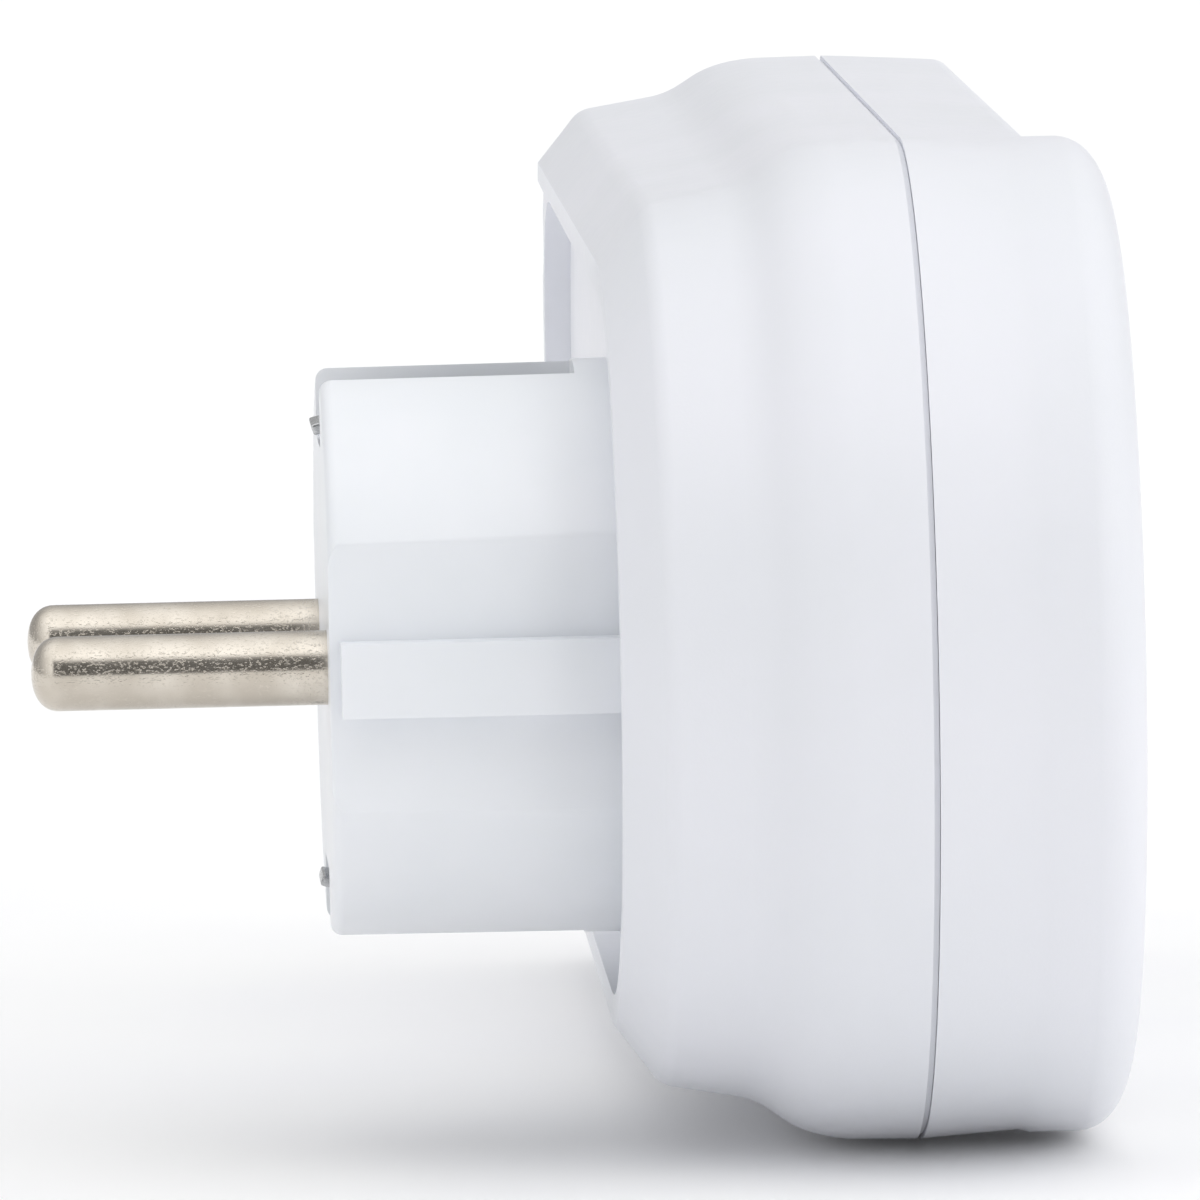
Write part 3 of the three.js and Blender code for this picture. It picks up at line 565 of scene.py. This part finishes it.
def buildRearShell():
    s = rearShell
    outline = roundedLine(s["outline"])[:-1] + curve(*s["swell"], 16) + [(32.5, s["seam"])]
    shell = housingForm("housingRear", outline, 0)
    joinOn(shell, housingForm("tongue", s["tongue"], s["tongueInset"]),
           housingForm("band", s["band"], s["bandInset"]))
    cutAway(shell, housingForm("cavity", s["cavity"], s["cavityInset"]))
    for x, z in s["screws"]:
        joinOn(shell, rod("boss", x, z, s["bossRadius"], s["dishFloor"] + 0.6, s["wellFloor"] + 2, 48))
    pocketHalf = s["dishRadius"] + s["lip"] - s["rail"] - 1.6
    pockets = slab("pockets", (s["pocketStart"], farX + 5), (s["rim"] - 2, s["pocketDepth"]),
                   (-pocketHalf, pocketHalf))
    cutAway(pockets, dishForm("lip", s["dishRadius"] + s["lip"], s["rim"] - 3,
                              s["pocketDepth"] + 1, s["dishEnd"] + s["lip"]))
    cutAway(shell, dishForm("dish", s["dishRadius"], s["rim"] - 2, s["dishFloor"], s["dishEnd"]), pockets,
            # a hair off centre, so that no corner falls on the half turn's edge and a facet is lost
            rod("plugHole", 0.013, 0, s["plugHole"], s["rim"] - 3, s["rim"] + 6, 128))
    for x, z in s["screws"]:
        cutAway(shell, rod("well", x, z, s["wellRadius"], s["rim"] - 3, s["wellFloor"], 48),
                rod("shank", x, z, 1.6, s["rim"], s["wellFloor"] + 4, 32))
    breakEdges(shell, 0.22)
    return finishPiece(shell, "absSatinShell", "housing", ["rear_shell"])


frontShell = {
    "seam": 38.0, "face": 47.2, "collarFace": 51.4,
    "outline": [(32.5, 38.0, 0), (31.85, 47.2, 1.5), (20, 47.2, 0)],
    "collar": [(31.0, 39.8), (32.25, 45.0), (32.25, 48.2)],
    "collarRound": [(32.25, 48.2), (32.1, 50.1), (30.4, 51.05), (28.3, 51.4)],
    "cavity": [(30.5, 36.0), (30.0, 44.8)],
    "cavityInset": 2.0,
    "collarCavity": [(29.9, 36.0), (29.9, 48.0), (28.1, 49.4)],
    "cupRing": 22.4, "cupRingDepth": 49.78, "cupHole": 21.6,
    "window": (64.6, 11.5, 44.6, 26.6), "windowSeat": 45.9, "windowLedge": 2.3,
}


def buildFrontShell():
    s = frontShell
    outline = roundedLine(s["outline"], 7)
    shell = housingForm("housingFront", outline, 0)
    roundFarRim(shell, s["face"], 1.3, 5)
    collar = turned("collar", [(0, 39.8), *s["collar"][:-1], *curve(*s["collarRound"], 12),
                               (0, s["collarFace"]), (0, 39.8)], 192)
    joinOn(shell, collar)
    cutAway(shell, housingForm("frontCavity", s["cavity"], s["cavityInset"]),
            turned("collarCavity", [(0, 36.0), *s["collarCavity"], (0, 49.4), (0, 36.0)], 96))
    x, z, width, height = s["window"]
    ledge = s["windowLedge"]
    cutAway(shell, rod("cupRing", 0, 0, s["cupRing"], s["cupRingDepth"], 55, 160),
            rod("cupHole", 0, 0, s["cupHole"], 45, 53, 160),
            roundedSlab("windowSeat", (x - width / 2, x + width / 2), (s["windowSeat"], 50),
                        (z - height / 2, z + height / 2), 1.6),
            roundedSlab("windowHole", (x - width / 2 + ledge, x + width / 2 - ledge), (43, 48),
                        (z - height / 2 + ledge, z + height / 2 - ledge), 1.0))
    for place in keyPlaces:
        width, height = keyShape["width"] + 0.6, keyShape["height"] + 0.6
        cutAway(shell, roundedSlab(
            "keyHole", (place - width / 2, place + width / 2), (43, 48.5),
            (keyShape["row"] - height / 2, keyShape["row"] + height / 2), height / 2 - 0.01, 14))
    breakEdges(shell, 0.22)
    return finishPiece(shell, "absSatinShell", "housing", ["front_shell"])


keyShape = {"width": 8.0, "height": 5.4, "row": -15.5, "flangeBack": 43.3, "flangeFront": 44.5,
            "top": 48.2, "flange": 1.0, "dish": 0.25}
keyPlaces = [sum(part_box(f"key_{i}")[end].x for end in (0, 1)) / 2 / mm for i in range(1, 5)]


def buildKey(name, x):
    k = keyShape
    width, height, row = k["width"] / 2, k["height"] / 2, k["row"]
    cap = roundedSlab(name, (x - width, x + width), (k["flangeFront"] - 0.3, k["top"]),
                      (row - height, row + height), height - 0.01, 16)
    pick(cap, "FACE", lambda f: f.normal.y < -0.9)
    bpy.ops.mesh.bevel(offset=0.55 * mm, segments=5, clamp_overlap=True)
    pick(cap, "FACE", lambda f: f.normal.y < -0.99 and f.calc_area() > 1e-5)
    bpy.ops.mesh.inset(thickness=1.0 * mm)
    bpy.ops.transform.translate(value=(0, k["dish"] * mm, 0))
    bpy.ops.object.mode_set(mode="OBJECT")
    flange = roundedSlab("flange", (x - width - k["flange"], x + width + k["flange"]),
                         (k["flangeBack"], k["flangeFront"]),
                         (row - height - k["flange"], row + height + k["flange"]),
                         height + k["flange"] - 0.01, 16)
    joinOn(cap, flange)
    return breakEdges(cap, 0.08, 2, 50)


print("modelling the housing")
buildRearShell()
buildFrontShell()

print("modelling the keys")
keyBodies = {"key_1": "first_key", "key_2": "second_key", "key_3": "third_key", "key_4": "fourth_key"}
firstKey = buildKey("keyCap1", keyPlaces[0])
keyCaps = [firstKey]
for i in range(1, 4):
    keyCaps.append(copied(firstKey, f"keyCap{i + 1}", ((keyPlaces[i] - keyPlaces[0]) * mm, 0, 0)))
for cap, (node, body) in zip(keyCaps, keyBodies.items()):
    finishPiece(cap, "absGreyKey", body, [node])

# ---------- plug ----------
plug = {
    "radius": 18.6, "flat": 16.4, "rib": 2.4, "ribEnd": 0.7, "flange": 21.5,
    "flangeBack": 22.4, "flangeFront": 24.4, "faceWall": 3.0,
    "channel": 13.6, "channelHalf": 4.2, "channelEnd": 16.5,
    "cavityHalf": (14.2, 12.2), "slotHalf": 2.9, "stripPlace": 15.2,
    "pinPlace": 9.5, "pinHole": 2.45,
}


def buildPlugBody():
    p = plug
    skin = roundedLine([(0, 0, 0), (p["radius"] - 0.12, 0, 0.8), (p["radius"], p["flangeBack"], 0)], 6)
    body = turned("plugHousing", [*skin, (p["flange"], p["flangeBack"]), (p["flange"], p["flangeFront"]),
                                  (0, p["flangeFront"]), (0, 0)], 192)
    for side in (-1, 1):
        for edge in (-1, 1):
            across = sorted((side * p["flat"], side * 25))
            up = sorted((edge * p["rib"], edge * 12))
            cutAway(body, slab("flat", across, (-2, p["flangeBack"] - 0.6), up))
        across = sorted((side * (p["flat"] - 0.001), side * 25))
        cutAway(body, slab("ribEnd", across, (-2, p["ribEnd"]), (-3, 3)))
        up = sorted((side * p["channel"], side * 25))
        cutAway(body, slab("channel", (-p["channelHalf"], p["channelHalf"]), (-2, p["channelEnd"]), up))
        up = sorted((side * (p["stripPlace"] - 0.8), side * (p["stripPlace"] + 0.8)))
        cutAway(body, slab("slot", (-p["slotHalf"], p["slotHalf"]), (15, 26), up),
                rod("pinHole", side * p["pinPlace"], 0, p["pinHole"], -2, p["faceWall"] + 1, 64))
    cavity = rod("plugCavity", 0, 0, 16.2, p["faceWall"], p["flangeFront"] + 1, 128)
    wide, high = p["cavityHalf"]
    keepWithin(cavity, slab("cavityBounds", (-wide, wide), (0, 30), (-high, high)))
    cutAway(body, cavity)
    breakEdges(body, 0.18)
    return finishPiece(body, "polyamidePlugBody", "housing", ["plug_body"])


pin = {"radius": 2.4, "length": 19.0, "tip": 1.75, "shoulder": 3.3, "tail": 11.5}


def buildPin(name, x):
    p = pin
    end = -p["length"]
    tip = curve((0, end), (p["radius"] * 0.62, end), (p["radius"], end + p["tip"] * 0.4),
                (p["radius"], end + p["tip"]), 12)
    piece = turned(name, [*tip, (p["radius"], p["shoulder"]), (3.4, p["shoulder"]), (3.4, 4.9), (1.9, 4.9),
                          (1.9, p["tail"]), (0, p["tail"])], 96)
    breakEdges(piece, 0.12, 2, 50)
    shifted(piece, (x * mm, 0, 0))
    return piece


strip = {
    "width": 5.0, "thickness": 0.75,
    "path": [(-0.45, 14.6), (0.0, 14.75), (0.8, 14.85), (2.6, 15.4), (5, 16.4), (8.5, 17.0),
             (12, 16.3), (14.6, 15.3),
             (17, 15.2), (24, 15.2), (28.4, 15.2), (29.6, 15.7), (31, 17.6), (32.4, 18.0), (35, 17.9),
             (38, 17.4), (41, 16.75), (44, 17.2), (47.5, 18.2)],
}


def buildStrip(name, side):  # bent cold from one flat strip
    half = strip["width"] / 2 * mm
    path = [Vector((-half, -depth * mm, up * mm)) for depth, up in strip["path"]]
    piece = traced(name, path)
    bpy.ops.mesh.select_all(action="SELECT")
    bpy.ops.mesh.extrude_region_move(TRANSFORM_OT_translate={"value": (2 * half, 0, 0)})
    closeUp(piece)
    startOn(piece)
    change = piece.modifiers.new("sheet", "SOLIDIFY")
    change.thickness = strip["thickness"] * mm
    change.offset = 0
    bpy.ops.object.modifier_apply(modifier=change.name)
    breakEdges(piece, 0.16, 3, 60)
    soften(piece, 2)
    if side < 0:
        startOn(piece)
        bpy.ops.object.mode_set(mode="EDIT")
        bpy.ops.mesh.select_all(action="SELECT")
        bpy.ops.transform.resize(value=(-1, 1, -1), center_override=(0, 0, 0))
        bpy.ops.object.mode_set(mode="OBJECT")
    return closeUp(piece)


print("modelling the plug")
buildPlugBody()
finishPiece(buildPin("linePin", -plug["pinPlace"]), "drawnNickelPin", "housing", ["line_pin"])
finishPiece(buildPin("neutralPin", plug["pinPlace"]), "drawnNickelPin", "housing", ["neutral_pin"])
stripPieces = (("earthStripTop", "earth_strip_top", 1), ("earthStripBottom", "earth_strip_bottom", -1))
for name, node, side in stripPieces:
    finishPiece(buildStrip(name, side), "stampedSpringSteel", "housing", [node])

# ---------- socket ----------
cup = {
    "bore": 19.5, "floor": 33.9, "floorBack": 31.9, "face": 51.4, "ring": 22.1, "ringBack": 49.8,
    "skin": 21.3, "skinBack": 29.5, "hole": 2.75, "guide": 17.2, "guideHalf": 6.0, "guideSlot": 2.9,
    "clipPlace": 18.0,
}


def buildCup():
    c = cup
    profile = roundedLine([
        (0, c["floor"], 0), (c["bore"], c["floor"], 0.8), (c["bore"], c["face"] - 0.9, 0),
        (c["bore"] + 0.7, c["face"], 0.5), (c["ring"], c["face"], 0.35), (c["ring"], c["ringBack"], 0),
        (c["skin"], c["ringBack"], 0), (c["skin"], c["skinBack"], 0), (c["bore"], c["skinBack"], 0),
        (c["bore"], c["floorBack"], 0), (0, c["floorBack"], 0), (0, c["floor"], 0)], 4)
    piece = turned("socketCup", profile, 192)
    for side in (-1, 1):
        across = sorted((side * c["guide"], side * (c["bore"] + 0.6)))
        guide = slab("guide", across, (c["floor"] - 0.5, c["face"] - 1.4), (-c["guideHalf"], c["guideHalf"]))
        cutAway(guide, slab("guideSlot", (across[0] - 1, across[1] + 1), (c["floor"], c["face"]),
                            (-c["guideSlot"], c["guideSlot"])))
        joinOn(piece, guide)
        up = sorted((side * (c["clipPlace"] - 1), side * (c["clipPlace"] + 1)))
        through = (c["floorBack"] - 1, c["floor"] + 1)
        cutAway(piece, rod("hole", side * plug["pinPlace"], 0, c["hole"], *through, 64),
                slab("clipSlot", (-plug["slotHalf"], plug["slotHalf"]), through, up))
    joinOn(piece, rod("pivot", 0, 0, 2.0, 29.3, c["floorBack"] + 0.5, 48))
    breakEdges(piece, 0.2)
    return finishPiece(piece, "absSocketCup", "housing", ["socket_cup"])


print("modelling the socket")
buildCup()

# ---------- display ----------
display = {
    "x": 64.6, "z": 11.5, "width": 44.0, "height": 26.0, "windowBack": 46.2, "windowFront": 47.2,
    "corner": 1.3, "glassFront": 44.4, "inkFront": 44.55,
}
digits = {
    "lit": {"0": "abcdef", "1": "bc", "2": "abged", "3": "abgcd", "4": "fgbc", "5": "afgcd",
            "6": "afgedc", "7": "abc", "8": "abcdefg", "9": "abcdfg"},
    "lines": [  # text, left edge, baseline, height, all from the display's centre
        ("2304", -18.0, 0.2, 9.2),
        ("0576", -18.0, -9.4, 6.2),
        ("50", 8.0, -9.4, 6.2),
    ],
    "slim": 0.5, "bar": 0.12,
}


def buildWindow():
    d = display
    piece = roundedSlab("displayWindow", (d["x"] - d["width"] / 2, d["x"] + d["width"] / 2),
                        (d["windowBack"], d["windowFront"]),
                        (d["z"] - d["height"] / 2, d["z"] + d["height"] / 2), d["corner"], 10)
    breakEdges(piece, 0.15, 3)
    return finishPiece(piece, "clearPolycarbonate", "housing", ["display_window"])


def segment(x, z, length, thick, upright):  # one bar of a digit, with cut ends
    wide, high = (thick, length) if upright else (length, thick)
    bar = slab("segment", (x - wide / 2, x + wide / 2), (display["glassFront"] + 0.02, display["inkFront"]),
               (z - high / 2, z + high / 2))
    pick(bar, "EDGE", lambda e: abs(e.verts[0].co.y - e.verts[1].co.y) > 0.05 * mm)
    bpy.ops.mesh.bevel(offset=thick * 0.42 * mm, segments=1)
    bpy.ops.object.mode_set(mode="OBJECT")
    return bar


def buildDigits():
    bars = []
    for text, left, base, height in digits["lines"]:
        width = height * digits["slim"]
        thick = height * digits["bar"]
        for i, character in enumerate(text):
            x = display["x"] + left + i * width * 1.42
            z = display["z"] + base
            half = height / 2
            spots = {"a": (x + width / 2, z + height, False), "g": (x + width / 2, z + half, False),
                     "d": (x + width / 2, z, False), "f": (x, z + half * 1.5, True),
                     "b": (x + width, z + half * 1.5, True), "e": (x, z + half * 0.5, True),
                     "c": (x + width, z + half * 0.5, True)}
            for letter in digits["lit"][character]:
                sx, sz, upright = spots[letter]
                length = (half if upright else width) - thick * 0.35
                bars.append(segment(sx, sz, length, thick, upright))
    for i in range(7):  # a row of rising level marks
        tall = 2.0 + i * 0.9
        bars.append(segment(display["x"] + 9.5 + i * 1.4, display["z"] + 0.6 + tall / 2, tall, 0.8, True))
    ink = joined(bars)
    ink.name = "displayDigits"
    return finishPiece(ink, "displayInk", "housing", [])


print("modelling the display")
buildWindow()
buildDigits()

# ---------- screws ----------
screw = {"head": 2.6, "seat": 26.7, "top": 24.7, "shank": 1.3, "end": 41.8, "cross": (3.2, 0.7)}


def buildScrew(name):
    s = screw
    piece = turned(name, roundedLine([
        (0, s["top"], 0), (s["head"] - 0.7, s["top"], 0.5), (s["head"], s["seat"] - 1.1, 0.4),
        (s["head"], s["seat"], 0), (s["shank"], s["seat"], 0), (s["shank"], s["end"] - 1, 0),
        (0, s["end"], 0), (0, s["top"], 0)], 4), 64)
    long, thin = (size / 2 for size in s["cross"])
    cutAway(piece, slab("arm", (-long, long), (s["top"] - 1, s["top"] + 1), (-thin, thin)),
            slab("arm", (-thin, thin), (s["top"] - 1, s["top"] + 1), (-long, long)))
    return breakEdges(piece, 0.06, 2, 50)


print("modelling the screws")
firstScrew = buildScrew("housingScrew1")
screwPlaces = [(x * mm, 0, z * mm) for x, z in rearShell["screws"]]
screws = [firstScrew] + [copied(firstScrew, f"housingScrew{i + 1}", screwPlaces[i]) for i in range(1, 4)]
shifted(firstScrew, screwPlaces[0])
for i, driven in enumerate(screws):
    finishPiece(driven, "stampedSpringSteel", "housing", [f"screw_{i + 1}"])

# ---------- finishes of the pieces carried over ----------
carried = {
    "absSocketCup": ["socket_shutter"],
    "polyamideInner": ["contact_carrier", "lcd_frame"],
    "stampedSpringSteel": ["shutter_spring", "crystal", "backup_cell"],
    "stampedBrass": ["line_sleeve", "neutral_sleeve"],
    "rolledCopper": ["line_strap", "neutral_strap", "earth_bridge", "current_shunt"],
    "siliconeRubberStrip": ["contact_strip_upper", "contact_strip_lower"],
    "polarisedDisplay": ["lcd_glass"],
    "greenSolderMask": ["display_board", "power_board"],
    "polyesterYellowCase": ["film_capacitor"],
    "epoxyBlueDip": ["varistor"],
    "epoxyBlackCase": ["storage_capacitor", "metering_chip", "controller_chip", "board_link",
                       "key_switch_1", "key_switch_2", "key_switch_3", "key_switch_4"],
}
for finish, nodes in carried.items():
    for node in nodes:
        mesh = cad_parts[node].data
        mesh.materials.clear()
        mesh.materials.append(finishes[finish])
print("finishes given to the carried pieces")

# ---------- floor, light and camera ----------
stage = {"floor": 8.0, "glow": 0.01, "key": (-0.62, -0.3, 0.72), "dim": 0.48,
         "bright": 1.57, "open": 0.12}


def buildFloor():
    bpy.ops.mesh.primitive_plane_add(size=stage["floor"], location=(0, 0, cadLow.z - 0.3 * mm))
    floor = settled("studioFloor")
    material, tree, shader, place = newMaterial("paintedFloor", **{"Roughness": 0.9})
    paper = noise(tree, place, 30.0, 2.0)  # matt white paper, barely clouded
    tree.links.new(blendColours(tree, paper, "FBFBFC", "FDFDFD"), shader.inputs["Base Color"])
    shader.inputs["Emission Color"].default_value = hexColour("FFFFFF")
    shader.inputs["Emission Strength"].default_value = stage["glow"]
    floor.data.materials.append(material)


def buildWorld():
    world = bpy.data.worlds.new("softStudio")
    bpy.context.scene.world = world
    world.use_nodes = True
    tree = world.node_tree
    direction = addNode(tree, "ShaderNodeTexCoord").outputs["Generated"]
    axes = addNode(tree, "ShaderNodeSeparateXYZ", {"Vector": direction}).outputs
    toKey = addNode(tree, "ShaderNodeVectorMath", {
        0: direction, 1: Vector(stage["key"]).normalized()}, operation="DOT_PRODUCT").outputs["Value"]
    glow = addNode(tree, "ShaderNodeMapRange", {  # a large white surround, brightest towards the key side
        "Value": toKey, "From Min": -0.35, "From Max": 1.0,
        "To Min": stage["dim"], "To Max": stage["bright"]}).outputs["Result"]
    width = addNode(tree, "ShaderNodeMath", {0: axes["Y"]}, operation="ABSOLUTE").outputs[0]
    dark = None  # a narrow strip that the pins mirror
    for value, start, end in ((axes["X"], -0.1, -0.35), (width, 0.5, 0.3), (axes["Z"], 0.85, 0.6)):
        edge = addNode(tree, "ShaderNodeMapRange", {  # the open, unlit side of the surround
            "Value": value, "From Min": start, "From Max": end},
            interpolation_type="SMOOTHSTEP").outputs["Result"]
        dark = edge if dark is None else addNode(
            tree, "ShaderNodeMath", {0: dark, 1: edge}, operation="MULTIPLY").outputs[0]
    share = addNode(tree, "ShaderNodeMapRange", {
        "Value": dark, "To Min": 1.0, "To Max": stage["open"]}).outputs["Result"]
    level = addNode(tree, "ShaderNodeMath", {0: glow, 1: share}, operation="MULTIPLY").outputs[0]
    tree.links.new(level, tree.nodes["Background"].inputs["Strength"])
    tree.nodes["Background"].inputs["Color"].default_value = hexColour("FFFFFF")


def softBox(name, place, size, power):
    light = bpy.data.lights.new(name, "AREA")
    light.shape = "RECTANGLE"
    light.size, light.size_y = size
    light.energy = power
    lamp = bpy.data.objects.new(name, light)
    bpy.context.scene.collection.objects.link(lamp)
    lamp.location = place
    aim = (cadLow + cadHigh) / 2 - Vector(place)
    lamp.rotation_mode = "QUATERNION"
    lamp.rotation_quaternion = aim.to_track_quat("-Z", "Y")


camera = {"place": (-1.192, 0.031, 0.132), "yaw": 0.0411, "pitch": 0.1078, "roll": 1.15, "lens": 556}


def buildCamera():
    c = camera
    data = bpy.data.cameras.new("camera")
    eye = bpy.data.objects.new("camera", data)
    bpy.context.scene.collection.objects.link(eye)
    data.sensor_width = 36
    data.lens = c["lens"]
    data.clip_start, data.clip_end = 0.1, 20
    eye.location = c["place"]
    flat = math.cos(c["pitch"])
    along = Vector((flat * math.cos(c["yaw"]), -flat * math.sin(c["yaw"]), -math.sin(c["pitch"])))
    eye.rotation_mode = "QUATERNION"
    eye.rotation_quaternion = along.to_track_quat("-Z", "Y") @ Quaternion((0, 0, 1), math.radians(-c["roll"]))
    bpy.context.scene.camera = eye


print("floor, light and camera")
buildFloor()
buildWorld()
softBox("frontSoftBox", (-0.8, -0.75, 0.5), (0.5, 0.5), 0.35)
softBox("topSoftBox", (0.2, 0.5, 0.9), (0.8, 0.8), 0.3)
buildCamera()
bpy.context.scene.view_settings.view_transform = "Standard"
